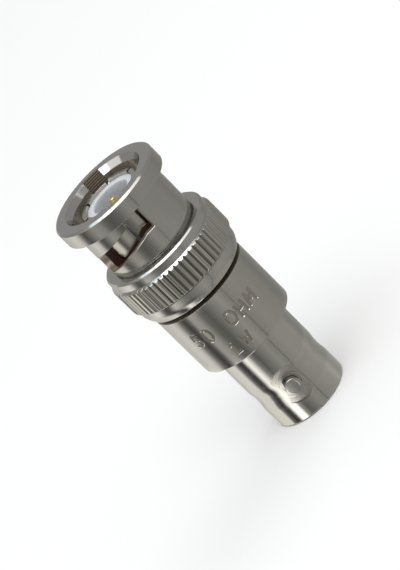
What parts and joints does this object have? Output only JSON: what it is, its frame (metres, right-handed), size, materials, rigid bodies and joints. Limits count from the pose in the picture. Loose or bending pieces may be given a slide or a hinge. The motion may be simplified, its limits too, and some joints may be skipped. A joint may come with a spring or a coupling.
{
  "type": "bnc terminator",
  "caption": "Feed-through coaxial terminator with a knurled bayonet coupling nut round a gold pin at one end, a plain round body, and a studded bayonet jack at the other.",
  "frame": {"origin": "on the axis, at the jack's end face, which the part stands on", "axes": "+Z along the axis from the jack to the plug's mouth; the two studs point along -Y and +Y"},
  "size_m": [0.0146, 0.0146, 0.0347],
  "materials": {
    "nickel": "bright nickel plate over turned brass",
    "gold": "gold plate, satin",
    "ptfe": "waxy white, turned",
    "silicone": "red-brown, matt",
    "steel": "spring steel, satin",
    "ceramic": "dark resistive film on ceramic",
    "solder": "tin solder, bright"
  },
  "bodies": {
    "terminator": {"plug_shell": "nickel", "plug_gasket": "silicone", "plug_insulator": "ptfe", "plug_bead": "ptfe", "plug_pin": "gold", "wave_washer": "steel", "thrust_washer_front": "steel", "body_sleeve": "nickel", "resistor_disc": "ceramic", "solder_ring": "solder", "contact_ring": "gold", "jack_shell": "nickel", "jack_insulator": "ptfe", "jack_bead": "ptfe", "jack_socket": "gold"},
    "washer": {"thrust_washer_rear": "steel"},
    "nut": {"coupling_nut": "nickel"}
  },
  "joints": [
    {"name": "nut_pull", "type": "slide", "parent": "terminator", "child": "washer", "axis": [0, 0, 1], "range_m": [0, 0.0008], "stiffness_N_per_m": 1500, "springref_m": -0.0002, "deforming": ["wave_washer"]},
    {"name": "nut_turn", "type": "hinge", "parent": "washer", "child": "nut", "pos_m": [0, 0, 0.027], "axis": [0, 0, 1], "continuous": true}
  ]
}
